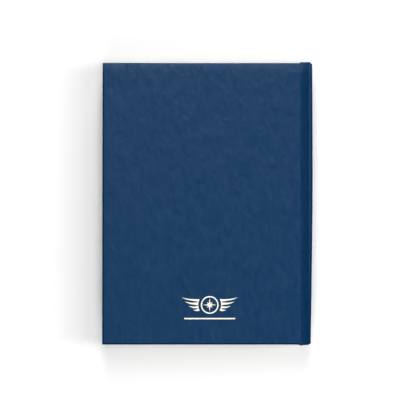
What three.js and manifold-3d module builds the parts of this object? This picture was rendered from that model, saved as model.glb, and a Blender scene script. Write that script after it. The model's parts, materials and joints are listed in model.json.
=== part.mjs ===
// Hardcover pilot logbook, case bound: two boards and a spine board in one cover material,
// eleven sewn sections of ruled leaves, endpapers, and the spine linings and bands that join them.
//
// Millimetres. The book lies on its front cover with the back cover up.
// +X points to the spine, +Y to the head of the book and +Z up, and the origin is the
// centre of the footprint on the surface that the book lies on.

import * as THREE from "three";
import { mergeVertices } from "three/addons/utils/BufferGeometryUtils.js";
import Module from "manifold-3d";

const wasm = await Module();
wasm.setup();

// ---------------------------------------------------------------- driving dimensions

const HALF_WIDTH = 78.5; // fore edge to the outside of the spine is 157
const BOARD_HEIGHT = 210.0; // head to tail of the covered boards
const JOINT_HEIGHT = 211.1; // the soft joints stand a little proud at head and tail
const SPINE_HEIGHT = 210.4;

const WRAP = 0.25; // laminated cover material
const TURN_IN = 0.2; // the same material where it is pressed flat inside
const TURN_IN_WIDTH = 15.0;
const GLUE = 0.03; // glue line between any two layers
const BOARD = 2.5; // greyboard of the two covers
const PAPER = 0.15; // endpaper
const SLIP = 0.05; // play between the leaves, so that they turn freely

const SECTIONS = 11;
const SECTION = 0.8; // eight leaves of 0.1
const PAGE_HEIGHT = 204.0; // the boards overhang the leaves by 3 all round
const PAGE_FORE_X = -75.5;
const FOLD_X = 73.9;

const BOARD_EDGE_X = 69.1; // spine-side edge of the boards, where the joint begins
const WRAP_EDGE_X = 69.2;
const HINGE_X = 74.0; // the cover turns about the spine side of its joint

const SPINE_BOARD = 2.17; // thickness of the stiff strip in the spine
const SPINE_BOARD_X = 76.05;
const SPINE_RADIUS = 1.2; // rounding of the spine's two long outer edges

const EDGE_ROUND = 0.45; // cover material rolled over the board edges
const FOIL = 0.05; // printed emblem on the back cover
const FOIL_TOP = 0.01; // depth of its top under the cover's surface

const COVER = WRAP + GLUE + BOARD + GLUE + TURN_IN + GLUE + PAPER;
const BLOCK = SECTIONS * SECTION + 2 * PAPER + (SECTIONS + 3) * SLIP;
const THICKNESS = 2 * COVER + BLOCK;
const BOARD_MID = WRAP + GLUE + BOARD / 2; // depth of the hinge axis under each outer face

// ---------------------------------------------------------------- colours

const BLUE = 0x1b3c63;
const IVORY = 0xfff8e6;
const PAGE = 0xf2ecdc;
const ENDPAPER = 0xece7da;
const GREYBOARD = 0x8d877c;
const GAUZE = 0xe3dcc8;
const LINING = 0xb79b70;
const BAND = 0xe9e4d6;
const THREAD = 0xf0ead8;

// ---------------------------------------------------------------- helpers

// A closed solid from any closed geometry.
function toSolid(geometry) {
  const bare = new THREE.BufferGeometry();
  bare.setAttribute("position", geometry.getAttribute("position").clone());
  if (geometry.index) bare.setIndex(geometry.index.clone());
  const merged = mergeVertices(bare, 1e-4);
  return new wasm.Manifold(
    new wasm.Mesh({
      numProp: 3,
      vertProperties: new Float32Array(merged.getAttribute("position").array),
      triVerts: new Uint32Array(merged.index.array),
    }),
  );
}

function toGeometry(solid) {
  const mesh = solid.getMesh();
  const geometry = new THREE.BufferGeometry();
  geometry.setAttribute("position", new THREE.BufferAttribute(new Float32Array(mesh.vertProperties), 3));
  geometry.setIndex(new THREE.BufferAttribute(new Uint32Array(mesh.triVerts), 1));
  const faceted = geometry.toNonIndexed();
  faceted.computeVertexNormals();
  return faceted;
}

function box(x0, x1, y0, y1, z0, z1) {
  const geometry = new THREE.BoxGeometry(x1 - x0, y1 - y0, z1 - z0);
  geometry.translate((x0 + x1) / 2, (y0 + y1) / 2, (z0 + z1) / 2);
  return geometry;
}

// A rectangle in plan with rounded corners on its fore edge only, its long edges rolled by `roll`.
function slab(x0, x1, halfY, z0, z1, corner, roll, steps) {
  const shape = new THREE.Shape();
  shape.moveTo(x1, -halfY);
  shape.lineTo(x1, halfY);
  shape.lineTo(x0 + corner, halfY);
  for (let i = 1; i <= 3; i++) {
    const a = Math.PI / 2 + (i / 3) * (Math.PI / 2);
    shape.lineTo(x0 + corner + corner * Math.cos(a), halfY - corner + corner * Math.sin(a));
  }
  shape.lineTo(x0, -halfY + corner);
  for (let i = 1; i <= 3; i++) {
    const a = Math.PI + (i / 3) * (Math.PI / 2);
    shape.lineTo(x0 + corner + corner * Math.cos(a), -halfY + corner + corner * Math.sin(a));
  }
  shape.closePath();
  const geometry = new THREE.ExtrudeGeometry(shape, {
    depth: z1 - z0 - 2 * roll,
    bevelEnabled: true,
    bevelThickness: roll,
    bevelSize: roll,
    bevelOffset: -roll,
    bevelSegments: steps,
  });
  geometry.translate(0, 0, z0 + roll);
  return geometry;
}

// A profile of [x, z] points drawn out along Y from -halfY to halfY.
function alongY(points, halfY) {
  const shape = new THREE.Shape(points.map(([x, z]) => new THREE.Vector2(x, z)));
  const geometry = new THREE.ExtrudeGeometry(shape, { depth: 2 * halfY, bevelEnabled: false });
  const p = geometry.getAttribute("position");
  for (let i = 0; i < p.count; i++) {
    const x = p.getX(i);
    const z = p.getY(i);
    const y = halfY - p.getZ(i);
    p.setXYZ(i, x, y, z);
  }
  geometry.computeVertexNormals();
  return geometry;
}

function arc(cx, cz, r, from, to, steps) {
  const points = [];
  for (let i = 0; i <= steps; i++) {
    const a = THREE.MathUtils.degToRad(from + ((to - from) * i) / steps);
    points.push([cx + r * Math.cos(a), cz + r * Math.sin(a)]);
  }
  return points;
}

// A band of constant thickness about a line of [x, z] points.
function ribbon(line, thickness) {
  const left = [];
  const right = [];
  line.forEach(([x, z], i) => {
    const [ax, az] = line[Math.max(0, i - 1)];
    const [bx, bz] = line[Math.min(line.length - 1, i + 1)];
    const length = Math.hypot(bx - ax, bz - az);
    const nx = (-(bz - az) / length) * (thickness / 2);
    const nz = ((bx - ax) / length) * (thickness / 2);
    left.push([x + nx, z + nz]);
    right.push([x - nx, z - nz]);
  });
  return [...right, ...left.reverse()];
}

const flipZ = (points) => points.map(([x, z]) => [x, THICKNESS - z]).reverse();

const book = new THREE.Group();

function add(name, geometry, color, roughness = 0.8) {
  const mesh = new THREE.Mesh(
    geometry,
    new THREE.MeshStandardMaterial({ color, roughness, metalness: 0 }),
  );
  mesh.name = name;
  book.add(mesh);
}

// ---------------------------------------------------------------- emblem on the back cover

// A plain compass between two stylised wings over a thin rule, printed in ivory foil that is
// pressed into the cover material until it lies just under its surface.
const EMBLEM_X = 1.6;
const EMBLEM_Y = -75.5;

const circle = (radius, steps, path = new THREE.Shape(), turn = 1) => {
  for (let i = 0; i < steps; i++) {
    const a = (turn * i * 2 * Math.PI) / steps;
    const p = [radius * Math.cos(a), radius * Math.sin(a)];
    if (i === 0) path.moveTo(...p);
    else path.lineTo(...p);
  }
  path.closePath();
  return path;
};

const ring = circle(6.6, 40);
ring.holes.push(circle(5.7, 40, new THREE.Path(), -1));

const star = new THREE.Shape();
for (let i = 0; i < 16; i++) {
  const a = (i * Math.PI) / 8 + Math.PI / 2;
  const r = i % 2 ? 1.35 : i % 4 ? 2.9 : 5.0;
  if (i === 0) star.moveTo(r * Math.cos(a), r * Math.sin(a));
  else star.lineTo(r * Math.cos(a), r * Math.sin(a));
}
star.closePath();

// Each wing is four feathers growing out of one root beside the ring.
const wing = (s) =>
  new THREE.Shape(
    [
      [7.5, 4.3],
      [21.0, 5.6],
      [19.4, 3.2],
      [8.9, 2.5],
      [8.9, 1.9],
      [18.3, 2.2],
      [16.7, 0.0],
      [8.9, -0.2],
      [8.9, -0.8],
      [15.4, -0.9],
      [13.8, -2.8],
      [8.9, -2.6],
      [8.9, -3.1],
      [12.2, -3.6],
      [10.6, -5.0],
      [7.5, -4.3],
      [8.3, -2.2],
      [8.6, 0.0],
      [8.3, 2.2],
    ].map(([x, y]) => new THREE.Vector2(s * x, y)),
  );

const rule = new THREE.Shape([
  new THREE.Vector2(-19, -10.7),
  new THREE.Vector2(19, -10.7),
  new THREE.Vector2(19, -9.7),
  new THREE.Vector2(-19, -9.7),
]);

const EMBLEM = {
  emblem_ring: ring,
  emblem_star: star,
  emblem_wing_left: wing(-1),
  emblem_wing_right: wing(1),
  emblem_rule: rule,
};

// An emblem outline drawn from z0 up to z1.
function stamp(shape, z0, z1) {
  const geometry = new THREE.ExtrudeGeometry(shape, { depth: z1 - z0, bevelEnabled: false });
  geometry.translate(EMBLEM_X, EMBLEM_Y, z0);
  return geometry;
}

for (const [name, shape] of Object.entries(EMBLEM)) {
  add(name, stamp(shape, THICKNESS - FOIL_TOP - FOIL, THICKNESS - FOIL_TOP), IVORY, 0.6);
}

// ---------------------------------------------------------------- the two covers

// The layers of a cover by depth under its outer face: material, board, turn-ins, pastedown.
const DEPTH = {
  board0: WRAP + GLUE,
  board1: WRAP + GLUE + BOARD,
  turn0: WRAP + BOARD + 2 * GLUE,
  turn1: WRAP + BOARD + 2 * GLUE + TURN_IN,
  paste0: WRAP + BOARD + 3 * GLUE + TURN_IN,
  paste1: COVER,
};

for (const side of ["front", "back"]) {
  // Height of a depth in this cover: the front cover is at the bottom.
  const h = (d) => (side === "front" ? d : THICKNESS - d);
  const span = (a, b) => [Math.min(h(a), h(b)), Math.max(h(a), h(b))];
  const cutter = (x0, x1, halfY, a, b) => {
    const [z0, z1] = span(a, b);
    return toSolid(box(x0, x1, -halfY, halfY, z0, z1));
  };

  const halfBoard = BOARD_HEIGHT / 2;
  const boardX0 = -HALF_WIDTH + WRAP + GLUE;
  const boardHalf = halfBoard - WRAP - GLUE;

  const [b0, b1] = span(DEPTH.board0, DEPTH.board1);
  add(`${side}_board`, slab(boardX0, BOARD_EDGE_X, boardHalf, b0, b1, 0.8, 0.3, 1), GREYBOARD, 0.95);

  // Cover material: over the outer face, round three edges and turned in on the inner face.
  const [w0, w1] = span(0, DEPTH.turn1);
  const pocket = toSolid(
    slab(boardX0 - GLUE, BOARD_EDGE_X + 8, boardHalf + GLUE, b0 - GLUE, b1 + GLUE, 0.8, 0.3, 1),
  );
  let wrap = toSolid(slab(-HALF_WIDTH, BOARD_EDGE_X + 6, halfBoard, w0, w1, 1.0, EDGE_ROUND, 3))
    .subtract(pocket)
    .subtract(
      cutter(-HALF_WIDTH + TURN_IN_WIDTH, BOARD_EDGE_X + 8, halfBoard - TURN_IN_WIDTH, BOARD / 2, COVER + 1),
    )
    .subtract(cutter(WRAP_EDGE_X, BOARD_EDGE_X + 9, halfBoard + 1, -1, COVER + 1));
  if (side === "back") {
    for (const shape of Object.values(EMBLEM)) {
      wrap = wrap.subtract(toSolid(stamp(shape, THICKNESS - FOIL_TOP - FOIL - 0.01, THICKNESS + 1)));
    }
  }
  add(`${side}_wrap`, toGeometry(wrap), BLUE, 0.62);

  // Flange of the mull, glued between board and pastedown.
  const [f0, f1] = span(DEPTH.turn0, DEPTH.turn1);
  add(`${side}_mull_flange`, box(BOARD_EDGE_X - 25, BOARD_EDGE_X, -85, 85, f0, f1), GAUZE, 0.9);

  // Pastedown: one sheet over the turn-ins, pressed down to the board between them.
  const [p0, p1] = span(DEPTH.paste0 - 0.001, DEPTH.paste1);
  const sheet = toSolid(box(PAGE_FORE_X, BOARD_EDGE_X, -102.4, 102.4, p0, p1));
  const infill = cutter(
    -HALF_WIDTH + TURN_IN_WIDTH + 0.1,
    BOARD_EDGE_X - 25.1,
    halfBoard - TURN_IN_WIDTH - 0.1,
    DEPTH.turn0,
    DEPTH.paste0 + 0.05,
  );
  add(`${side}_pastedown`, toGeometry(sheet.add(infill)), ENDPAPER, 0.85);

  // Flyleaf: the free half of the endpaper.
  const [y0, y1] = span(COVER + SLIP, COVER + SLIP + PAPER);
  add(
    `${side}_flyleaf`,
    box(PAGE_FORE_X, FOLD_X, -PAGE_HEIGHT / 2, PAGE_HEIGHT / 2, y0, y1),
    ENDPAPER,
    0.85,
  );

  // Joint: the flexible strip of cover material pressed into the groove beside the spine.
  const T = THICKNESS;
  const groove = [
    [69.24, T - 0.14],
    [69.9, T - 0.22],
    [70.5, T - 0.62],
    [71.1, T - 1.3],
    [71.8, T - 1.82],
    [72.8, T - 2.0],
    [74.0, T - 1.98],
    [74.7, T - 1.6],
    [75.15, T - 0.86],
    [75.45, T - 0.34],
    [75.76, T - 0.16],
  ];
  const strip = ribbon(groove, WRAP);
  add(
    `${side}_joint`,
    alongY(side === "front" ? flipZ(strip) : strip, JOINT_HEIGHT / 2),
    BLUE,
    0.62,
  );
}

// ---------------------------------------------------------------- sections of leaves

const firstSection = COVER + 2 * SLIP + PAPER;
for (let i = 0; i < SECTIONS; i++) {
  const z0 = firstSection + i * (SECTION + SLIP);
  const r = SECTION / 2;
  const profile = [
    [PAGE_FORE_X, z0],
    ...arc(FOLD_X - r, z0 + r, r, -90, 90, 6),
    [PAGE_FORE_X, z0 + SECTION],
  ];
  add(`section_${String(i + 1).padStart(2, "0")}`, alongY(profile, PAGE_HEIGHT / 2), PAGE, 0.85);
}

// ---------------------------------------------------------------- spine of the text block

const blockZ0 = COVER + SLIP;
const blockZ1 = THICKNESS - COVER - SLIP;

// Thread of the sewing where it crosses the folds, with a kettle stitch near head and tail.
const STITCHES = {
  kettle_stitch_tail: -92,
  sewing_thread_1: -62,
  sewing_thread_2: -21,
  sewing_thread_3: 21,
  sewing_thread_4: 62,
  kettle_stitch_head: 92,
};
const threadRadius = 0.12;
for (const [name, y] of Object.entries(STITCHES)) {
  const thread = new THREE.CylinderGeometry(threadRadius, threadRadius, blockZ1 - blockZ0 - 0.4, 8);
  thread.rotateX(Math.PI / 2);
  thread.translate(FOLD_X + 0.05 + threadRadius, y, THICKNESS / 2);
  add(name, thread, THREAD, 0.8);
}

const mullX = FOLD_X + 0.05 + 2 * threadRadius + GLUE;
add("mull", box(mullX, mullX + 0.2, -98, 98, blockZ0, blockZ1), GAUZE, 0.9);

const liningX = mullX + 0.2 + GLUE;
add("spine_lining", box(liningX, liningX + 0.4, -100, 100, blockZ0, blockZ1), LINING, 0.9);

// Head and tail bands: a bead on the end of the folds with a tape glued to the lining.
const tapeX = liningX + 0.4 + GLUE;
for (const [name, s] of [
  ["head_band", 1],
  ["tail_band", -1],
]) {
  const half = PAGE_HEIGHT / 2;
  const tape = toSolid(
    box(tapeX, tapeX + 0.2, Math.min(s * 88, s * (half + 0.85)), Math.max(s * 88, s * (half + 0.85)), blockZ0, blockZ1),
  );
  const bridge = toSolid(
    box(
      74.0,
      tapeX + 0.2,
      Math.min(s * (half + 0.35), s * (half + 0.85)),
      Math.max(s * (half + 0.35), s * (half + 0.85)),
      blockZ0,
      blockZ1,
    ),
  );
  const bead = new THREE.CylinderGeometry(0.78, 0.78, blockZ1 - blockZ0, 12);
  bead.rotateX(Math.PI / 2);
  bead.translate(73.7, s * (half + 0.85), THICKNESS / 2);
  add(name, toGeometry(toSolid(bead).add(bridge).add(tape)), BAND, 0.85);
}

// ---------------------------------------------------------------- spine of the case

const T = THICKNESS;
const spineOuter = (x0, grow, halfY) => {
  const x1 = SPINE_BOARD_X + SPINE_BOARD + grow;
  const z0 = WRAP + GLUE - grow;
  const r = SPINE_RADIUS - WRAP - GLUE + grow;
  return alongY(
    [[x0, z0], ...arc(x1 - r, z0 + r, r, -90, 0, 4), ...arc(x1 - r, T - z0 - r, r, 0, 90, 4), [x0, T - z0]],
    halfY,
  );
};

const spineHalf = SPINE_HEIGHT / 2;
add("spine_board", spineOuter(SPINE_BOARD_X, 0, spineHalf - WRAP - GLUE), GREYBOARD, 0.95);

const spineWrapX = SPINE_BOARD_X - GLUE - TURN_IN;
const spineWrap = toSolid(spineOuter(spineWrapX, WRAP + GLUE, spineHalf))
  .subtract(toSolid(spineOuter(SPINE_BOARD_X - GLUE, GLUE, spineHalf - WRAP)))
  .subtract(
    toSolid(box(spineWrapX - 1, SPINE_BOARD_X + 0.5, -(spineHalf - TURN_IN_WIDTH), spineHalf - TURN_IN_WIDTH, WRAP, T - WRAP)),
  );
add("spine_wrap", toGeometry(spineWrap), BLUE, 0.62);

export default book;
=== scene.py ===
"""A hardcover pilot logbook, lying closed on its front cover with the back cover up.

Millimetres in the helpers, metres in the meshes. +X is the spine, +Y the head of the book, +Z up.
"""

import json
import math
import random

import bpy
import numpy as np
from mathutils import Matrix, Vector, noise


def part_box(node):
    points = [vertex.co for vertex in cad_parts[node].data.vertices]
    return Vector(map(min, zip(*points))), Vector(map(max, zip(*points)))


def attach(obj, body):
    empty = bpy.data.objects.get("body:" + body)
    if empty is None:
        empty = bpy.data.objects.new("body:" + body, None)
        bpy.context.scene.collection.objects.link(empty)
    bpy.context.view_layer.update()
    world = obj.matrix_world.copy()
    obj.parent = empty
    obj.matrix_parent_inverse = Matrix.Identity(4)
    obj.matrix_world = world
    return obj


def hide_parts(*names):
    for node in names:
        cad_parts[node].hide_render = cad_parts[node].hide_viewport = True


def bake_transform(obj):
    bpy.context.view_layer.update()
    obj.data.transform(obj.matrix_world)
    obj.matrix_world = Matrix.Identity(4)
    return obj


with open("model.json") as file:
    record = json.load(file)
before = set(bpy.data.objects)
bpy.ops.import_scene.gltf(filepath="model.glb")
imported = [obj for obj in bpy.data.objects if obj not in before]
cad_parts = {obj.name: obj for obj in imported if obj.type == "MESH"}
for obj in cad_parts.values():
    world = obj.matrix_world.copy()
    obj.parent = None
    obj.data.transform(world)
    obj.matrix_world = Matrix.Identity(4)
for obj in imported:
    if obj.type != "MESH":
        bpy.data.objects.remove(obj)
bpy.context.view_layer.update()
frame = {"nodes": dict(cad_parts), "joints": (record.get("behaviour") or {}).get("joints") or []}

random.seed(7)
MM = 0.001


# ------------------------------------------------------------------ the frame's own sizes, in mm

def span(node):
    lo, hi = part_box(node)
    return [c / MM for c in lo], [c / MM for c in hi]


(wrap_lo, wrap_hi) = span("back_wrap")
(spine_lo, spine_hi) = span("spine_wrap")
(paste_lo, paste_hi) = span("back_pastedown")
(fly_lo, fly_hi) = span("back_flyleaf")
(board_lo, board_hi) = span("back_board")

T = wrap_hi[2]  # thickness of the closed book
X_FORE = wrap_lo[0]  # fore edge of the covers
X_SPINE = spine_hi[0]
X_EDGE = board_hi[0]  # spine-side edge of the boards
HALF = wrap_hi[1]  # half the boards' height
COVER_IN = T - wrap_lo[2]  # depth of a cover's inner face
PASTE_IN = T - paste_lo[2]
HINGE = next(j for j in frame["joints"] if j["name"] == "back_cover_hinge")["pos_m"]
HINGE_X = HINGE[0] / MM

EMBLEM_LO, EMBLEM_HI = span("emblem_ring")
EMBLEM_X = (EMBLEM_LO[0] + EMBLEM_HI[0]) / 2
EMBLEM_Y = (EMBLEM_LO[1] + EMBLEM_HI[1]) / 2


# ------------------------------------------------------------------ small maths

def smooth(t):
    t = min(1.0, max(0.0, t))
    return t * t * (3 - 2 * t)


def ramp(x, a, b):
    return smooth((x - a) / (b - a))


def table(x, points):
    """Straight lines through (x, value) points."""
    xs, vs = zip(*points)
    return float(np.interp(x, xs, vs))


def arc(cx, cz, r, a0, a1, n):
    return [
        (
            cx + r * math.cos(math.radians(a0 + (a1 - a0) * i / n)),
            cz + r * math.sin(math.radians(a0 + (a1 - a0) * i / n)),
        )
        for i in range(n + 1)
    ]


def spline(points, step):
    """A Catmull-Rom line through 2D points, with a point about every step."""
    out = []
    p = [points[0], *points, points[-1]]
    for i in range(1, len(p) - 2):
        a, b, c, d = (np.array(p[i + k], float) for k in (-1, 0, 1, 2))
        n = max(1, int(round(np.linalg.norm(c - b) / step)))
        for k in range(n):
            t = k / n
            q = 0.5 * (
                2 * b
                + (c - a) * t
                + (2 * a - 5 * b + 4 * c - d) * t * t
                + (3 * b - a - 3 * c + d) * t ** 3
            )
            out.append(tuple(q))
    out.append(tuple(points[-1]))
    return out


def evenly(a, b, step):
    n = max(1, int(round(abs(b - a) / step)))
    return [a + (b - a) * i / n for i in range(n + 1)]


# ------------------------------------------------------------------ mesh building

def make(name, verts, faces, materials, index=None, uvs=None, sharp=38, attributes=None):
    """A piece from vertices in mm. index is a material index per face, uvs one pair per vertex."""
    mesh = bpy.data.meshes.new(name)
    mesh.from_pydata([tuple(c * MM for c in v) for v in verts], [], faces)
    for m in materials:
        mesh.materials.append(m)
    if index is not None:
        mesh.polygons.foreach_set("material_index", np.array(index, np.int32))
    mesh.polygons.foreach_set("use_smooth", np.ones(len(mesh.polygons), bool))
    if uvs is not None:
        layer = mesh.uv_layers.new(name="sheet")
        loops = np.zeros(len(mesh.loops), np.int32)
        mesh.loops.foreach_get("vertex_index", loops)
        layer.data.foreach_set("uv", np.array(uvs, np.float32)[loops].ravel())
    for key, values in (attributes or {}).items():
        a = mesh.attributes.new(key, "FLOAT", "POINT")
        a.data.foreach_set("value", np.array(values, np.float32))
    mesh.update()
    mesh.validate()
    if sharp is not None:
        mesh.set_sharp_from_angle(angle=math.radians(sharp))
    obj = bpy.data.objects.new(name, mesh)
    bpy.context.scene.collection.objects.link(obj)
    return obj


def loft(rings, cap="fan"):
    """Closed rings of the same number of points, joined in order and capped."""
    n = len(rings[0])
    verts = [v for r in rings for v in r]
    faces = []
    for j in range(len(rings) - 1):
        for i in range(n):
            k = (i + 1) % n
            faces.append((j * n + i, j * n + k, (j + 1) * n + k, (j + 1) * n + i))
    if cap == "fan":
        faces.append(tuple(reversed(range(n))))
        faces.append(tuple((len(rings) - 1) * n + i for i in range(n)))
    elif cap == "strip":  # a ribbon's ring: out along one side and back along the other
        m = n // 2
        last = (len(rings) - 1) * n
        for i in range(m - 1):
            a, b, c, d = i, i + 1, n - 2 - i, n - 1 - i
            faces.append((d, c, b, a))
            faces.append((last + a, last + b, last + c, last + d))
    return verts, faces


def zip_cap(points, outer, inner):
    """Triangles between two lines of a section, given as indices, that start at one point and run side by side."""
    tris = []
    i = j = 0
    while i < len(outer) - 1 or j < len(inner) - 1:
        along = math.dist(points[outer[i + 1]], points[inner[j]]) if i < len(outer) - 1 else math.inf
        back = math.dist(points[outer[i]], points[inner[j + 1]]) if j < len(inner) - 1 else math.inf
        if along <= back:
            tri = (outer[i], outer[i + 1], inner[j])
            i += 1
        else:
            tri = (outer[i], inner[j + 1], inner[j])
            j += 1
        if len(set(tri)) == 3:
            tris.append(tri)
    return tris


def outward(verts, faces):
    """The faces turned so that the solid's volume is positive."""
    v = np.array(verts, float)
    volume = 0.0
    for f in faces:
        a = v[f[0]]
        for i in range(1, len(f) - 1):
            volume += np.dot(a, np.cross(v[f[i]], v[f[i + 1]]))
    return faces if volume > 0 else [tuple(reversed(f)) for f in faces]


def join_parts(parts):
    verts, faces = [], []
    for v, f in parts:
        base = len(verts)
        verts += v
        faces += [tuple(base + i for i in face) for face in outward(v, f)]
    return verts, faces


def inward(points):
    """Unit normals that point into a closed polygon of (x, z) points."""
    p = np.array(points, float)
    area = 0.5 * np.sum(p[:, 0] * np.roll(p[:, 1], -1) - np.roll(p[:, 0], -1) * p[:, 1])
    d = np.roll(p, -1, 0) - np.roll(p, 1, 0)
    d /= np.maximum(np.linalg.norm(d, axis=1), 1e-9)[:, None]
    n = np.stack([-d[:, 1], d[:, 0]], 1)
    return n if area > 0 else -n


# ------------------------------------------------------------------ materials

GRAIN_TURN = math.radians(4)
GRAIN_DEPTH = 1.0

def new_material(name):
    m = bpy.data.materials.new(name)
    m.use_nodes = True
    tree = m.node_tree
    tree.nodes.clear()
    out = tree.nodes.new("ShaderNodeOutputMaterial")
    shader = tree.nodes.new("ShaderNodeBsdfPrincipled")
    tree.links.new(shader.outputs[0], out.inputs[0])
    return m, tree, shader


class Nodes:
    """Shorthand for a material's nodes."""

    def __init__(self, tree):
        self.tree = tree

    def add(self, kind, **values):
        node = self.tree.nodes.new(kind)
        for k, v in values.items():
            setattr(node, k, v)
        return node

    def link(self, a, b):
        self.tree.links.new(a, b)

    def put(self, socket, value):
        if hasattr(value, "is_linked") or hasattr(value, "links"):
            self.link(value, socket)
        else:
            socket.default_value = value

    def math(self, op, a, b=0.0, c=None, clamp=False):
        node = self.add("ShaderNodeMath", operation=op, use_clamp=clamp)
        self.put(node.inputs[0], a)
        self.put(node.inputs[1], b)
        if c is not None:
            self.put(node.inputs[2], c)
        return node.outputs[0]

    def mix(self, a, b, factor, blend="MIX"):
        node = self.add("ShaderNodeMix", data_type="RGBA", blend_type=blend)
        self.put(node.inputs[0], factor)
        self.put(node.inputs[6], a)
        self.put(node.inputs[7], b)
        return node.outputs[2]

    def coords(self, scale=(1, 1, 1), kind="Object"):
        tex = self.add("ShaderNodeTexCoord")
        m = self.add("ShaderNodeMapping")
        self.link(tex.outputs[kind], m.inputs[0])
        m.inputs["Scale"].default_value = scale
        return m.outputs[0]

    def attribute_vector(self, name, scale=(1, 1, 1)):
        a = self.add("ShaderNodeAttribute", attribute_name=name)
        m = self.add("ShaderNodeMapping")
        self.link(a.outputs["Vector"], m.inputs[0])
        m.inputs["Scale"].default_value = scale
        return m.outputs[0]

    def noise(self, vector, scale, detail=3.0, rough=0.55, distort=0.0):
        n = self.add("ShaderNodeTexNoise")
        self.link(vector, n.inputs["Vector"])
        n.inputs["Scale"].default_value = scale
        n.inputs["Detail"].default_value = detail
        n.inputs["Roughness"].default_value = rough
        n.inputs["Distortion"].default_value = distort
        return n.outputs["Fac"]

    def ramp(self, value, stops, mode="LINEAR"):
        r = self.add("ShaderNodeValToRGB")
        r.color_ramp.interpolation = mode
        els = r.color_ramp.elements
        els[0].position, els[0].color = stops[0][0], (*stops[0][1], 1)
        els[1].position, els[1].color = stops[1][0], (*stops[1][1], 1)
        for pos, col in stops[2:]:
            e = els.new(pos)
            e.color = (*col, 1)
        self.link(value, r.inputs[0])
        return r.outputs[0]

    def span(self, value, lo, hi, to_lo, to_hi):
        m = self.add("ShaderNodeMapRange")
        self.put(m.inputs[0], value)
        for i, v in enumerate((lo, hi, to_lo, to_hi)):
            m.inputs[i + 1].default_value = v
        return m.outputs[0]

    def bump(self, height, strength, distance, normal=None):
        b = self.add("ShaderNodeBump")
        b.inputs["Strength"].default_value = strength
        b.inputs["Distance"].default_value = distance
        self.link(height, b.inputs["Height"])
        if normal is not None:
            self.link(normal, b.inputs["Normal"])
        return b.outputs[0]


def cover_material(name="cover_laminate", level=0.16, shade=1.0):
    """Matte laminate over a leathery print: deep blue, faintly mottled, pressed with a wavering grain. Its shade factor
    paints light and shade into lit and shaded copies, and a vertex attribute darkens it towards a deeper blue: painted
    shade along the edges and in the groove, with a little real rubbing.
    """
    m, tree, shader = new_material(name)
    n = Nodes(tree)
    flat = n.attribute_vector("rest_mm")
    turned = n.add("ShaderNodeMapping")
    turned.inputs["Rotation"].default_value = (0, 0, -GRAIN_TURN)
    n.link(flat, turned.inputs[0])

    def grain(scale):
        g = n.add("ShaderNodeMapping")
        g.inputs["Scale"].default_value = scale
        n.link(turned.outputs[0], g.inputs[0])
        return g.outputs[0]

    clouds = n.noise(n.attribute_vector("rest_mm", (0.045, 0.03, 0.045)), 1.0, 3.0, 0.6, 0.4)
    creases = n.noise(grain((0.160, 0.085, 0.160)), 1.0, 2.2, 0.5, 0.25)
    mottle = n.noise(grain((0.24, 0.12, 0.24)), 1.0, 2.0, 0.5, 0.3)
    pores = n.noise(flat, 1.5, 2.0, 0.5)
    both = n.math("ADD", n.math("MULTIPLY", clouds, 0.4), n.math("MULTIPLY", mottle, 0.6))
    # shade above 1 paints light into the colour, below 1 paints shade
    low = [c * shade for c in (0.0010, 0.0298, 0.0880)]
    high = [c * shade for c in (0.0052, 0.0352, 0.0960)]
    tone = n.ramp(both, [(0.30, low), (0.70, high)])
    # painted shade with a little real rubbing: a vertex attribute, high along the edges, the tail end and the joint's
    # groove, mixes in a deeper blue
    shade_wear_mix = n.add("ShaderNodeAttribute", attribute_name="painted_shade_and_wear").outputs["Fac"]
    shade_wear_mix = n.math("MULTIPLY", shade_wear_mix, n.span(n.noise(flat, 0.6, 3.0), 0.35, 0.75, 0.4, 1.0), clamp=True)
    tone = n.mix(tone, (0.0012, 0.019, 0.058, 1), shade_wear_mix)
    n.link(tone, shader.inputs["Base Color"])
    n.link(n.span(mottle, 0.3, 0.7, 0.38, 0.52), shader.inputs["Roughness"])
    shader.inputs["Specular IOR Level"].default_value = level
    normal = n.bump(creases, 1.0, GRAIN_DEPTH * MM)
    normal = n.bump(pores, 0.16, 0.00006, normal)
    n.link(normal, shader.inputs["Normal"])
    return m


def foil_material():
    m, tree, shader = new_material("ivory_print")
    n = Nodes(tree)
    co = n.coords()
    speck = n.noise(co, 900.0, 3.0, 0.6)
    n.link(
        n.ramp(speck, [(0.3, (0.86, 0.82, 0.70)), (0.6, (0.93, 0.89, 0.77))]),
        shader.inputs["Base Color"],
    )
    n.link(n.span(speck, 0.3, 0.7, 0.42, 0.55), shader.inputs["Roughness"])
    n.link(n.bump(speck, 0.12, 0.00003), shader.inputs["Normal"])
    return m


def paper_material(name, low, high, rough=0.88):
    """Plain uncoated paper: cloudy formation and short fibres."""
    m, tree, shader = new_material(name)
    n = Nodes(tree)
    uv = n.coords((150, 204, 1), "UV")
    cloud = n.noise(uv, 0.22, 3.0, 0.6)
    fibre = n.noise(n.coords((150, 204 * 3, 1), "UV"), 2.2, 3.0, 0.7, 0.6)
    both = n.math("ADD", n.math("MULTIPLY", cloud, 0.5), n.math("MULTIPLY", fibre, 0.5))
    n.link(n.ramp(both, [(0.32, low), (0.68, high)]), shader.inputs["Base Color"])
    shader.inputs["Roughness"].default_value = rough
    shader.inputs["Specular IOR Level"].default_value = 0.25
    n.link(n.bump(fibre, 0.15, 0.00003), shader.inputs["Normal"])
    return m


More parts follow.
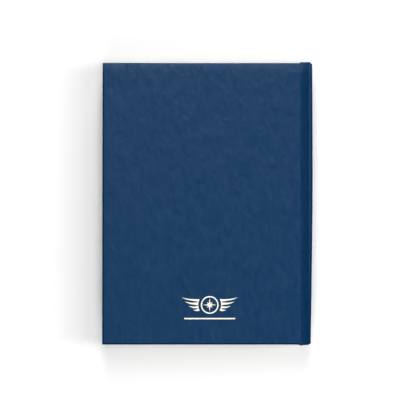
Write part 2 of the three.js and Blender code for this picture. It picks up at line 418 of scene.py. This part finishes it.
def page_edge_material():
    """Cut edge of the leaves: slight tone changes from leaf to leaf and guillotine marks."""
    m, tree, shader = new_material("page_edge")
    n = Nodes(tree)
    layers = n.noise(n.attribute_vector("rest_mm", (0.02, 0.02, 7.0)), 1.0, 2.0, 0.6)
    marks = n.noise(n.attribute_vector("rest_mm", (0.5, 0.5, 0.2)), 1.0, 3.0, 0.6)
    both = n.math("ADD", n.math("MULTIPLY", layers, 0.7), n.math("MULTIPLY", marks, 0.3))
    n.link(
        n.ramp(both, [(0.3, (0.66, 0.61, 0.50)), (0.7, (0.84, 0.80, 0.70))]),
        shader.inputs["Base Color"],
    )
    shader.inputs["Roughness"].default_value = 0.9
    shader.inputs["Specular IOR Level"].default_value = 0.2
    n.link(n.bump(layers, 0.35, 0.00008), shader.inputs["Normal"])
    return m


# A log page's columns, as the x of each rule in mm from the fore edge, and the tinted ones.
COLUMNS = [6.0, 22.0, 36.0, 52.0, 66.0, 78.0, 90.0, 102.0, 114.0, 126.0, 138.0]
TINTS = [(66.0, 78.0), (90.0, 102.0), (114.0, 126.0)]
ROW, FOOT, TOP, HEAD = 8.0, 14.0, 174.0, 190.0


def ruled_material():
    """A ruled log page: fine rows and columns, tinted columns, and a plain double-ruled head."""
    m, tree, shader = new_material("ruled_page")
    n = Nodes(tree)
    uv = n.coords((150, 204, 1), "UV")
    sep = n.add("ShaderNodeSeparateXYZ")
    n.link(uv, sep.inputs[0])
    x, y = sep.outputs[0], sep.outputs[1]
    cloud = n.noise(uv, 0.22, 3.0, 0.6)
    fibre = n.noise(n.coords((150, 204 * 3, 1), "UV"), 2.2, 3.0, 0.7, 0.6)
    both = n.math("ADD", n.math("MULTIPLY", cloud, 0.5), n.math("MULTIPLY", fibre, 0.5))
    paper = n.ramp(both, [(0.32, (0.80, 0.77, 0.68)), (0.68, (0.86, 0.83, 0.75))])

    def between(v, a, b):
        return n.math(
            "MULTIPLY", n.math("GREATER_THAN", v, a), n.math("LESS_THAN", v, b)
        )

    in_table = n.math("MULTIPLY", between(x, COLUMNS[0], COLUMNS[-1] + 0.3), between(y, FOOT, HEAD))
    tint = None
    for a, b in TINTS:
        t = between(x, a, b)
        tint = t if tint is None else n.math("ADD", tint, t)
    tint = n.math("MULTIPLY", n.math("MULTIPLY", tint, in_table), 0.42)
    paper = n.mix(paper, (0.52, 0.67, 0.76, 1), tint)
    head = n.math("MULTIPLY", n.math("MULTIPLY", between(y, TOP, HEAD), in_table), 0.5)
    paper = n.mix(paper, (0.42, 0.56, 0.68, 1), head)
    # rows
    phase = n.math("FRACT", n.math("DIVIDE", n.math("SUBTRACT", y, FOOT), ROW))
    rows = n.math("MULTIPLY", n.math("LESS_THAN", phase, 0.030), in_table)
    rows = n.math("MULTIPLY", rows, n.math("LESS_THAN", y, TOP + 0.4))
    # columns, by a ramp with hard steps
    stops = [(0.0, (0, 0, 0))]
    for c in COLUMNS:
        w = 0.42 if c in (COLUMNS[0], COLUMNS[-1], 66.0) else 0.26
        stops += [(c / 150, (1, 1, 1)), ((c + w) / 150, (0, 0, 0))]
    columns = n.ramp(n.math("DIVIDE", x, 150.0), stops, "CONSTANT")
    columns = n.math("MULTIPLY", columns, in_table)
    heavy = None
    for a, w in ((FOOT, 0.45), (FOOT + 2 * ROW, 0.4), (TOP, 0.45), (TOP + 8.0, 0.25), (HEAD - 0.45, 0.45)):
        t = between(y, a, a + w)
        heavy = t if heavy is None else n.math("ADD", heavy, t)
    heavy = n.math("MULTIPLY", heavy, in_table)
    ink = n.math("MAXIMUM", n.math("MAXIMUM", rows, columns), heavy)
    ink = n.math("MULTIPLY", ink, n.span(fibre, 0.3, 0.7, 0.75, 0.95))
    n.link(n.mix(paper, (0.055, 0.105, 0.17, 1), ink), shader.inputs["Base Color"])
    shader.inputs["Roughness"].default_value = 0.86
    shader.inputs["Specular IOR Level"].default_value = 0.25
    n.link(n.bump(fibre, 0.12, 0.00003), shader.inputs["Normal"])
    return m


def woven_material(name, low, high, pitch):
    """Plain weave of threads at a pitch in mm, in the frame's own axes."""
    m, tree, shader = new_material(name)
    n = Nodes(tree)
    co = n.add("ShaderNodeTexCoord").outputs["Object"]
    sep = n.add("ShaderNodeSeparateXYZ")
    n.link(co, sep.inputs[0])
    k = 2 * math.pi / (pitch * MM)
    a = n.math("SINE", n.math("MULTIPLY", sep.outputs[1], k))
    b = n.math("SINE", n.math("MULTIPLY", sep.outputs[2], k))
    weave = n.math("MULTIPLY", a, b)
    fuzz = n.noise(co, 3000.0, 3.0, 0.7)
    h = n.math("ADD", n.math("MULTIPLY", weave, 0.5), fuzz)
    n.link(n.ramp(n.span(h, -0.1, 1.2, 0, 1), [(0.1, low), (0.9, high)]), shader.inputs["Base Color"])
    shader.inputs["Roughness"].default_value = 0.92
    n.link(n.bump(h, 0.6, 0.0001), shader.inputs["Normal"])
    return m


def fibre_material(name, low, high, scale=1500.0, rough=0.92):
    m, tree, shader = new_material(name)
    n = Nodes(tree)
    co = n.coords((1, 1, 0.35))
    f = n.noise(co, scale, 4.0, 0.65, 0.5)
    n.link(n.ramp(f, [(0.3, low), (0.7, high)]), shader.inputs["Base Color"])
    n.link(n.span(f, 0.2, 0.8, rough - 0.08, rough), shader.inputs["Roughness"])
    n.link(n.bump(f, 0.4, 0.00008), shader.inputs["Normal"])
    return m


COVER = cover_material()
# Lit and shaded copies of the cover: the joint's copies are 1.3 to 1.4 times as light, painted light on the groove's
# walls, with less sheen; the turned edges' copy is 0.92 as light, painted shade on the rounded edges and ends, and the
# spine's 0.95.
JOINT = cover_material("cover_joint", 0.02, 1.4)
JOINT_NEAR_END = cover_material("cover_joint_near_head", 0.09, 1.35)
JOINT_END = cover_material("cover_joint_head", 0.16, 1.3)
TURN = cover_material("cover_turned_edge", 0.004, 0.92)
SPINE = cover_material("cover_spine", 0.05, 0.95)
FOIL = foil_material()
RULED = ruled_material()
EDGE = page_edge_material()
ENDPAPER = paper_material("endpaper", (0.78, 0.75, 0.67), (0.85, 0.82, 0.75))
GAUZE = woven_material("mull_gauze", (0.52, 0.48, 0.38), (0.80, 0.76, 0.66), 0.9)
KRAFT = fibre_material("kraft_lining", (0.36, 0.25, 0.13), (0.50, 0.37, 0.21))
THREAD = fibre_material("linen_thread", (0.70, 0.66, 0.56), (0.84, 0.80, 0.71), 4000.0)
BAND_LIGHT = fibre_material("band_ivory", (0.72, 0.68, 0.57), (0.86, 0.82, 0.72), 4000.0)
BAND_DARK = fibre_material("band_blue", (0.010, 0.035, 0.085), (0.022, 0.065, 0.14), 4000.0)


# ------------------------------------------------------------------ camera, floor and light

PX = 0.746  # mm of the back cover's plane per pixel of a 416 pixel frame
DISTANCE = 1150.0
camera = bpy.data.objects.new("camera", bpy.data.cameras.new("camera"))
bpy.context.scene.collection.objects.link(camera)
camera.data.sensor_width = 36.0
camera.data.lens = 36.0 * DISTANCE / (416 * PX)
camera.location = (0.33 * MM, -3.2 * MM, (T + DISTANCE) * MM)
camera.rotation_euler = (0, 0, 0)
camera.data.clip_end = 20
bpy.context.scene.camera = camera
bpy.context.scene.view_settings.view_transform = "Standard"


HORIZON, SHOULDER, ZENITH = 0.64, 0.365, 0.12


def lights():
    world = bpy.data.worlds.new("studio")
    world.use_nodes = True
    n = Nodes(world.node_tree)
    sky = n.add("ShaderNodeTexCoord")
    up = n.add("ShaderNodeSeparateXYZ")
    n.link(sky.outputs["Generated"], up.inputs[0])
    back = world.node_tree.nodes["Background"]
    n.link(
        n.ramp(
            up.outputs[2],
            [(0.0, (1.0,) * 3), (0.08, (0.97,) * 3), (0.13, (HORIZON,) * 3), (0.30, (SHOULDER,) * 3), (1.0, (ZENITH,) * 3)],
        ),
        back.inputs[0],
    )
    back.inputs[1].default_value = 1.0
    bpy.context.scene.world = world

    def soft_box(name, azimuth, height, distance, size, power, diffuse=True, sheen=True):
        """A square light aimed at the book. Azimuth is from +X towards +Y, height is above the floor, in degrees."""
        data = bpy.data.lights.new(name, "AREA")
        data.shape = "SQUARE"
        data.size = size
        data.energy = power
        obj = bpy.data.objects.new(name, data)
        a, e = math.radians(azimuth), math.radians(height)
        place = Vector((math.cos(e) * math.cos(a), math.cos(e) * math.sin(a), math.sin(e))) * distance
        obj.location = place
        obj.rotation_euler = (-place).to_track_quat("-Z", "Y").to_euler()
        obj.visible_diffuse = diffuse
        obj.visible_glossy = sheen
        bpy.context.scene.collection.objects.link(obj)

    soft_box("key_low", 0, 20, 2.6, 1.0, 39.7)
    soft_box("key_high", 0, 40, 2.6, 1.0, 15.0)
    soft_box("fill_tail", 270, 30, 1.3, 0.5, 9.3)
    soft_box("fill_head_low", 90, 15, 1.3, 0.5, 7.4, sheen=False)
    soft_box("fill_head", 90, 30, 1.3, 0.5, 4.9, sheen=False)
    soft_box("fill_head_high", 90, 50, 1.3, 0.5, 3.0)
    soft_box("sheen_head", 90, 58, 1.3, 0.5, 5.8, diffuse=False)
    soft_box("sheen_fore", 180, 62, 1.3, 0.5, 1.7, diffuse=False)
    soft_box("sheen_corner", 135, 60, 1.3, 0.5, 0.75, diffuse=False)


lights()

floor = bpy.data.objects.new("floor", bpy.data.meshes.new("floor"))
floor.data.from_pydata([(-6, -6, 0), (6, -6, 0), (6, 6, 0), (-6, 6, 0)], [], [(0, 1, 2, 3)])
bpy.context.scene.collection.objects.link(floor)
floor_mat, floor_tree, floor_shader = new_material("floor_white")
floor_shader.inputs["Base Color"].default_value = (0.93, 0.93, 0.93, 1)
floor_shader.inputs["Roughness"].default_value = 0.95
floor_shader.inputs["Specular IOR Level"].default_value = 0.0
# well away from the book the floor glows a little, so that it stays white up to the horizon
n = Nodes(floor_tree)
floor_place = n.add("ShaderNodeTexCoord")
floor_reach = n.add("ShaderNodeVectorMath")
floor_reach.operation = "LENGTH"
n.link(floor_place.outputs["Object"], floor_reach.inputs[0])
n.link(
    n.ramp(floor_reach.outputs["Value"], [(0.30, (0.0,) * 3), (0.85, (0.9,) * 3)]),
    floor_shader.inputs["Emission Strength"],
)
floor_shader.inputs["Emission Color"].default_value = (1, 1, 1, 1)
floor_mat.cycles.emission_sampling = "NONE"
floor.data.materials.append(floor_mat)


# ------------------------------------------------------------------ the case: covers, joints and spine

SPINE_BOW = [(-106, 1.45), (-85, 1.15), (-60, 0.75), (-30, 0.38), (0, 0.04), (30, 0.0), (60, 0.05), (106, 0.32)]


def end_of(x, s):
    """Half height of the case at x, at the head (s = 1) or tail (s = -1): the cloth of the joints stands proud."""
    if s > 0:
        y = HALF + 0.17 * ramp(-x, 10, 78) + 0.78 * ramp(x, 68.6, 69.8)
        return y - 0.68 * ramp(x, 76.6, 77.6) - 0.55 * ramp(x, 77.2, 78.5)
    y = HALF + 0.15 + 0.82 * math.exp(-(((x - 70.1) / 1.5) ** 2)) - 0.15 * ramp(x, 72.0, 73.0)
    y += 0.55 * ramp(x, 71.2, 72.4) * (1 - ramp(x, 74.9, 75.8))
    return y - 0.25 * ramp(x, 75.2, 76.0)


def case_half(name, side):
    """One cover with its joint and half of the spine, as one skin of cover material round its boards."""
    up = side == "back"
    # the section, from the inner face round the fore edge, over the top and down to the middle of the spine
    r = 0.5
    inner = T - COVER_IN
    mid = T / 2
    step = 1.5
    pts = []
    tags = []

    def put(points, tag):
        for p in points:
            if pts and math.hypot(p[0] - pts[-1][0], p[1] - pts[-1][1]) < 0.02:
                continue
            pts.append(p)
            tags.append(tag)

    # inner face, spine side to fore edge
    put([(x, inner) for x in evenly(X_EDGE, X_FORE + r, 4.0)], "in")
    put(arc(X_FORE + r, inner + r, r, 270, 180, 6), "edge")
    put([(X_FORE, z) for z in evenly(inner + r, T - r, 0.7)], "edge")
    put(arc(X_FORE + r, T - r, r, 180, 90, 6), "edge")
    put([(X_FORE + r + 0.25, T), (X_FORE + r + 0.5, T)], "rim")
    put([(x, T) for x in evenly(X_FORE + r + 0.8, 67.6, step)], "top")
    # shoulder, groove and ridge
    put(
        spline(
            [
                (67.6, T),
                (68.3, T),
                (68.9, T - 0.08),
                (69.6, T - 0.44),
                (70.3, T - 1.00),
                (70.9, T - 1.50),
                (71.4, T - 1.84),
                (72.0, T - 1.98),
                (73.3, T - 2.02),
                (74.15, T - 1.94),
                (74.65, T - 1.55),
                (75.05, T - 0.85),
                (75.32, T - 0.28),
                (75.65, T - 0.03),
                (76.2, T),
                (77.0, T - 0.01),
            ],
            0.22,
        ),
        "joint",
    )
    put(arc(X_SPINE - 1.5, T - 1.5, 1.5, 88, 0, 9), "spine")
    put([(X_SPINE, z) for z in evenly(T - 1.5, mid, 0.9)], "spine")
    # back up inside the spine and under the joint
    put([(75.85, z) for z in evenly(mid, T - 3.3, 0.9)], "hollow")
    put(
        spline(
            [
                (75.85, T - 3.3),
                (75.7, T - 2.85),
                (75.2, T - 2.62),
                (74.0, T - 2.60),
                (72.4, T - 2.62),
                (71.0, T - 2.76),
                (69.9, T - 2.94),
                (X_EDGE + 0.15, inner + 0.01),
            ],
            0.4,
        ),
        "hollow",
    )
    n = len(pts)
    normal = inward(pts)
    for i, (x, z) in enumerate(pts):
        if abs(z - mid) < 0.01:
            normal[i] = (-1.0 if x > 77.0 else 1.0, 0.0)
    base = np.array(pts)
    radius = np.array(
        [
            0.48
            if t in ("in", "edge", "rim", "top")
            else (0.26 if (t == "hollow" or p[0] < 75.6) else 0.6)
            for p, t in zip(pts, tags)
        ]
    )
    # blend the radius along the section, so that the rounded ends have no step
    for _ in range(6):
        radius = (np.roll(radius, 1) + 2 * radius + np.roll(radius, -1)) / 4

    stations = []
    for a in (90, 68, 45, 22, 0):
        stations.append((1, a))
    body = evenly(1.0, -1.0, step / HALF)[1:-1]
    rings, shade_wear_weights, rest = [], [], []

    def ring(s, angle, v):
        out = []
        for i in range(n):
            x, z = base[i]
            rr = radius[i]
            if s:
                inset = rr * (1 - math.cos(math.radians(angle)))
                y = s * (end_of(x, s) - rr * (1 - math.sin(math.radians(angle))))
            else:
                inset = 0.0
                top, tail = end_of(x, 1) - rr, end_of(x, -1) - rr
                y = -tail + (top + tail) * (v + 1) / 2
            x += normal[i][0] * inset
            z += normal[i][1] * inset
            t = tags[i]
            if t in ("rim", "top", "joint"):
                # faint unevenness of the laminate over the board, none where the emblem lies
                q = Vector((x * 0.055, y * 0.022, 3.0 if up else 9.0))
                wave = noise.noise(q) * 0.6 + noise.noise(q * 2.7) * 0.4
                calm = 1 - math.exp(
                    -(((x - EMBLEM_X) / 26) ** 4) - (((y - EMBLEM_Y + 2) / 13) ** 4)
                )
                if up:
                    z += 0.045 * wave * calm
                else:
                    z -= 0.02 * abs(wave)
            # the head edge of the upper cover falls away a little
            if up and z > T - 1.2 - 1.3 * (t not in ("rim", "top")):
                start = 95.5 - 5.0 * ramp(x, 69.5, 72.0)
                u = max(0.0, (y - start) / (HALF - start))
                fall = 0.62 * u * u * u
                u = max(0.0, (-y - 101.6) / (HALF - 101.6))
                fall += 0.16 * u * u
                z -= fall * ramp(z, T - 2.6, T - 0.6)
            # the spine leans in towards the tail
            if x > 75.4:
                x -= table(y, SPINE_BOW) * ramp(x, 75.2, 77.2)
            if x < X_FORE + 2:
                x += 0.20 * (y / HALF)
            out.append((x, y, z))
        return out

    sequence = [(1, a, 1.0) for a in (90, 68, 45, 22, 0)]
    sequence += [(0, 0, v) for v in body]
    sequence += [(0, 0, -1 + 0.9 / HALF), (0, 0, -1 + 0.55 / HALF)]
    sequence += [(-1, a, -1.0) for a in (0, 22, 45, 68, 90)]
    for s, a, v in sequence:
        rings.append(ring(s, a, v))
        # Weights of a painted shade, with a little real rubbing: full on the rounded edges and rim, more at the tail
        # end, and on the joint's slope and the floor of its groove, none on the groove's far wall.
        for i in range(n):
            t = tags[i]
            w = 0.0
            if t in ("edge", "rim") or (t in ("top", "in") and s and a > 20):
                w = 1.0
            if s < 0 or (s == 0 and v <= -1 + 0.6 / HALF):
                w = 1.5
            if t == "rim" or (t == "edge" and base[i][1] > T - 0.35) or (t == "spine" and base[i][1] > T - 1.4):
                w = 1.7
            if t == "joint" and not s:
                x = base[i][0]
                w = max(w, 1.2 * ramp(x, 68.5, 69.2) * (1 - 0.45 * ramp(x, 71.0, 71.8)) * (1 - ramp(x, 73.4, 74.4)))
            shade_wear_weights.append(w)
    if not up:
        rings = [[(x, y, T - z) for x, y, z in r_] for r_ in rings]
    verts, faces = loft(rings, cap=None)
    index = []
    for j in range(len(rings) - 1):
        ends = max(sequence[j][1], sequence[j + 1][1]) > 45 or min(sequence[j][2], sequence[j + 1][2]) < -1 + 0.6 / HALF
        y = rings[j][0][1]
        # The groove takes the joint's lit copies, painted light, with more sheen in two steps towards the head; edges,
        # rim and ends take the shaded copy, painted shade.
        joint = 4 if y > 100.5 else (3 if y > 97.5 else 1)
        for i in range(n):
            x, z = base[i]
            if tags[i] == "spine" and z < T - 1.6 and not ends:
                index.append(5)
            elif ends or tags[i] in ("edge", "rim", "spine"):
                index.append(2)
            elif tags[i] == "joint" and 68.7 < x < 75.4:
                index.append(joint)
            elif tags[i] == "hollow":
                index.append(1)
            else:
                index.append(0)
    # the ends of the skin, closed from the fore edge along both sides to the middle of the spine
    fore = min((i for i in range(n) if tags[i] == "edge"), key=lambda i: abs(base[i][1] - (inner + T) / 2))
    last_spine = max(i for i in range(n) if tags[i] == "spine")
    outer_line = list(range(fore, last_spine + 1))
    inner_line = list(range(fore, -1, -1)) + list(range(n - 1, last_spine, -1))
    cap = zip_cap([(x, z) for x, y, z in rings[0]], outer_line, inner_line)
    last = (len(rings) - 1) * n
    faces += [tuple(reversed(t)) for t in cap] + [tuple(last + i for i in t) for t in cap]
    index += [2] * (2 * len(cap))
    faces = outward(verts, faces)
    obj = make(
        name,
        verts,
        faces,
        [COVER, JOINT, TURN, JOINT_NEAR_END, JOINT_END, SPINE],
        index=index,
        sharp=50,
        attributes={"painted_shade_and_wear": shade_wear_weights},
    )
    rest_attribute(obj)
    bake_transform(obj)
    return obj


def rest_attribute(obj):
    """Each vertex's own place in mm, which textures read, so that they stay put when a piece bends."""
    mesh = obj.data
    a = mesh.attributes.new("rest_mm", "FLOAT_VECTOR", "POINT")
    co = np.zeros(len(mesh.vertices) * 3, np.float32)
    mesh.vertices.foreach_get("co", co)
    a.data.foreach_set("vector", co / MM)


back_case = case_half("back_case", "back")
front_case = case_half("front_case", "front")
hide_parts("back_wrap", "back_board", "back_joint", "back_mull_flange", "spine_wrap", "spine_board")
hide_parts("front_wrap", "front_board", "front_joint", "front_mull_flange", "spine_wrap", "spine_board")


# ------------------------------------------------------------------ paper: ribbons swept from tail to head

def ribbon_rings(line, thickness, ys, wobble=None):
    """Rings of a sheet of constant thickness about a line of (x, z) points, at each y."""
    p = np.array(line, float)
    d = np.gradient(p, axis=0)
    d /= np.linalg.norm(d, axis=1)[:, None]
    nrm = np.stack([-d[:, 1], d[:, 0]], 1) * thickness / 2
    side_a, side_b = p + nrm, p - nrm
    rings = []
    for y in ys:
        ring_ = [(x, y, z) for x, z in side_a] + [(x, y, z) for x, z in side_b[::-1]]
        if wobble:
            ring_ = [wobble(q) for q in ring_]
        rings.append(ring_)
    return rings


def paper_piece(name, sheets, materials, edge_index):
    """One mesh of several sheets. Each is (line, thickness, ys, wobble). Its page faces take material 0 and its cut edges edge_index."""
    verts, faces, index, uvs = [], [], [], []
    for line, thickness, ys, wobble in sheets:
        rings = ribbon_rings(line, thickness, ys, wobble)
        v, f = loft(rings, cap="strip")
        n, m = len(rings[0]), len(line)
        kinds = []
        for j in range(len(rings) - 1):
            for i in range(n):
                kinds.append(edge_index if i in (m - 1, n - 1) else 0)
        kinds += [edge_index] * (len(f) - len(kinds))
        base = len(verts)
        verts += v
        faces += [tuple(base + i for i in face) for face in outward(v, f)]
        index += kinds
        # the sheet's flat coordinates, from its x and y
        for x, y, z in v:
            uvs.append(((x - fly_lo[0]) / 150.0, (y + 102.0) / 204.0))
    obj = make(name, verts, faces, materials, index=index, uvs=uvs, sharp=40)
    rest_attribute(obj)
    return obj


def flip(points, side):
    return points if side == "back" else [(x, T - z) for x, z in points]


def leaf_xs(x0, x1, dense_from):
    """x stations from the fore edge to the fold, close together where a sheet bends."""
    return evenly(x0, dense_from, 11.0)[:-1] + evenly(dense_from, x1, 0.7)


for side in ("back", "front"):
    # pastedown with its hinge: over the turn-ins, down to the board between them, out to the fold
    z_sheet = T - (COVER_IN + 0.02 + 0.075)
    border = X_FORE + 15.0

    def sunk(q, side=side):
        x, y, z = q
        inside = ramp(x, border - 0.5, border + 2.2) * ramp(90.5 - abs(y), -0.6, 2.4)
        inside *= 1 - ramp(x, 43.0, 45.5)
        dz = 0.13 * inside
        return (x, y, z + dz if side == "back" else z - dz)

    xs = evenly(paste_lo[0], border - 0.6, 3.0)[:-1] + evenly(border - 0.6, border + 2.4, 0.5)[:-1]
    xs += evenly(border + 2.4, 42.5, 8.0)[:-1] + evenly(42.5, 46.0, 0.6)[:-1] + evenly(46.0, 62.0, 4.0)[:-1]
    xs += evenly(62.0, 73.75, 0.6)
    line = []
    for x in xs:
        # inside the joint the sheet follows the underside of the cloth a little way up
        lift = 0.22 * ramp(x, 69.0, 71.0) * (1 - ramp(x, 72.4, 73.7))
        line.append((x, z_sheet + lift))
    ys = [-102.4] + evenly(-91.4, -87.6, 0.6) + evenly(-80, 80, 20) + evenly(87.6, 91.4, 0.6) + [102.4]
    pasted = paper_piece(
        f"{side}_endpaper_pasted",
        [(flip(line, side), 0.15, ys, sunk)],
        [ENDPAPER, EDGE],
        1,
    )
    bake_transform(pasted)
    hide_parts(f"{side}_pastedown")

    # flyleaf
    z = (fly_lo[2] + fly_hi[2]) / 2
    line = [(x, z) for x in leaf_xs(fly_lo[0], 73.88, 56.0)]
    fly = paper_piece(
        f"{side}_endpaper_free",
        [(flip(line, side), 0.14, [-102.0, -40, 40, 102.0], None)],
        [ENDPAPER, EDGE],
        1,
    )
    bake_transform(fly)
    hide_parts(f"{side}_flyleaf")


def section(number):
    """Four folded sheets, one inside the other: eight leaves."""
    lo, hi = span(f"section_{number:02d}")
    zc = (lo[2] + hi[2]) / 2
    fold = hi[0] - 0.4
    slip = random.uniform(-0.06, 0.06)
    sheets = []
    for m in range(4):
        rad = 0.35 - 0.1 * m
        fore = lo[0] + slip + 0.035 * m * 0 + random.uniform(-0.03, 0.03)
        head = 102.0 + random.uniform(-0.05, 0.04)
        tail = -102.0 + random.uniform(-0.04, 0.05)
        xs = leaf_xs(fore, fold, 56.0)
        line = [(x, zc + rad) for x in xs[:-1]]
        line += arc(fold, zc, rad, 90, -90, 8)
        line += [(x, zc - rad) for x in reversed(xs[:-1])]
        sheets.append((line, 0.088, [tail, tail / 3, head / 3, head], None))
    obj = paper_piece(f"section_{number:02d}_leaves", sheets, [RULED, EDGE], 1)
    if number == 6:
        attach(obj, "spine")
    else:
        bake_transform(obj)
    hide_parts(f"section_{number:02d}")
    return obj


for number in range(1, 12):
    section(number)


# ------------------------------------------------------------------ head and tail bands

def band(name, node, s):
    """A sewn bead of turns in two colours on the end of the folds, and the tape that holds it."""
    lo, hi = span(node)
    z0, z1 = lo[2], hi[2]
    cx, cy, rad = 73.62, s * 102.85, 0.74
    turns = 15
    verts, faces, index = [], [], []
    pitch = (z1 - z0) / turns
    rings = []
    kinds = []
    for t in range(turns):
        for k in range(6):
            u = k / 6
            z = z0 + pitch * (t + u)
            rr = rad * (0.84 + 0.16 * math.sin(math.pi * min(1, max(0, u))) ** 0.6)
            rings.append([
                (cx + rr * math.cos(a), cy + rr * math.sin(a), z + 0.10 * math.sin(a))
                for a in (i * math.pi / 10 for i in range(20))
            ])
            kinds.append(t % 2)
    rings.append([
        (cx + rad * 0.84 * math.cos(a), cy + rad * 0.84 * math.sin(a), z1 + 0.10 * math.sin(a) - 0.1)
        for a in (i * math.pi / 10 for i in range(20))
    ])
    v, f = loft(rings)
    idx = []
    for j in range(len(rings) - 1):
        idx += [kinds[j]] * 20
    idx += [kinds[0], kinds[-1]]
    parts = [(v, outward(v, f), idx)]
    # the tape: from under the bead over the end of the folds and down the lining
    line = spline(
        [(73.7, s * 102.25), (74.5, s * 102.45), (74.98, s * 102.0), (75.05, s * 100.5), (75.05, s * 88.0)],
        0.5,
    )
    p = np.array(line)
    d = np.gradient(p, axis=0)
    d /= np.linalg.norm(d, axis=1)[:, None]
    nr = np.stack([-d[:, 1], d[:, 0]], 1) * 0.08
    rr = []
    for z in evenly(z0, z1, 1.2):
        rr.append([(x, y, z) for x, y in p + nr] + [(x, y, z) for x, y in (p - nr)[::-1]])
    v, f = loft(rr, cap="strip")
    parts.append((v, outward(v, f), [0] * len(f)))
    for v, f, idx in parts:
        base = len(verts)
        verts += v
        faces += [tuple(base + i for i in face) for face in f]
        index += idx
    obj = make(name, verts, faces, [BAND_LIGHT, BAND_DARK], index=index, sharp=60)
    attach(obj, "spine")
    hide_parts(node)
    return obj


band("head_band_sewn", "head_band", 1)
band("tail_band_sewn", "tail_band", -1)


# ------------------------------------------------------------------ emblem, as raised ivory print

def prism(outline, hole=None, z0=None, z1=None):
    """A flat solid from a 2D outline, with a hole that has as many points if given."""
    if hole is None:
        a = [(x, y, z1) for x, y in outline]
        b = [(x, y, z0) for x, y in outline]
        return loft([b, a])
    n = len(outline)
    verts = []
    for z in (z0, z1):
        verts += [(x, y, z) for x, y in outline] + [(x, y, z) for x, y in hole]
    faces = []
    for i in range(n):
        k = (i + 1) % n
        lo_o, lo_h, hi_o, hi_h = 0, n, 2 * n, 3 * n
        faces.append((hi_o + i, hi_o + k, hi_h + k, hi_h + i))
        faces.append((lo_o + k, lo_o + i, lo_h + i, lo_h + k))
        faces.append((lo_o + i, lo_o + k, hi_o + k, hi_o + i))
        faces.append((hi_h + i, hi_h + k, lo_h + k, lo_h + i))
    return verts, faces


def emblem(name, outline, hole=None):
    place = lambda pts: [(EMBLEM_X + x, EMBLEM_Y + y) for x, y in pts]
    v, f = prism(place(outline), place(hole) if hole else None, T - 0.06, T + 0.018)
    obj = make(name, v, outward(v, f), [FOIL], sharp=30)
    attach(obj, "back_cover")
    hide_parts(name.replace("_print", ""))
    return obj


def circle(r, n=96):
    return [(r * math.cos(2 * math.pi * i / n), r * math.sin(2 * math.pi * i / n)) for i in range(n)]


emblem("emblem_ring_print", circle(6.6), circle(5.7))
star = []
for i in range(16):
    a = i * math.pi / 8 + math.pi / 2
    r_ = 1.35 if i % 2 else (2.9 if i % 4 else 5.0)
    star.append((r_ * math.cos(a), r_ * math.sin(a)))
emblem("emblem_star_print", star)
for name, s in (("emblem_wing_left_print", -1), ("emblem_wing_right_print", 1)):
    feathers = []
    rows = [
        # root x, root top y, tip x, tip y, root bottom y
        (8.9, 4.3, 21.0, 5.6, 2.55),
        (8.9, 1.95, 18.6, 2.5, -0.15),
        (8.9, -0.75, 15.6, -0.7, -2.55),
        (8.9, -3.1, 12.3, -3.6, -4.6),
    ]
    for k, (x0, y0, x1, y1, y2) in enumerate(rows):
        start = (7.5, 4.3) if k == 0 else (x0, y0)
        top = [
            (
                start[0] + (x1 - start[0]) * t,
                start[1] + (y1 - start[1]) * t - 0.55 * math.sin(math.pi * t) * (1 if k < 3 else 0.4),
            )
            for t in (i / 10 for i in range(11))
        ]
        low = [
            (
                x1 + (x0 - x1) * t,
                y1 + (y2 - y1) * t - 0.9 * math.sin(math.pi * t) * (1 if k < 3 else 0.4) * (1 - t * 0.6),
            )
            for t in (i / 10 for i in range(1, 11))
        ]
        feathers += top + low
    feathers += [(7.5, -4.3)]
    feathers += [(8.6 - 1.1 * (abs(t) ** 2), 4.3 * t) for t in (-0.8, -0.6, -0.4, -0.2, 0, 0.2, 0.4, 0.6, 0.8)]
    emblem(name, [(s * x, y) for x, y in feathers])
emblem("emblem_rule_print", [(-19, -10.7), (19, -10.7), (19, -9.7), (-19, -9.7)])


# ------------------------------------------------------------------ linings and thread, as the CAD has them

def paint(node, material):
    obj = frame["nodes"][node]
    obj.data.materials.clear()
    obj.data.materials.append(material)


paint("mull", GAUZE)
paint("spine_lining", KRAFT)
for node in ("kettle_stitch_tail", "sewing_thread_1", "sewing_thread_2", "sewing_thread_3", "sewing_thread_4", "kettle_stitch_head"):
    paint(node, THREAD)
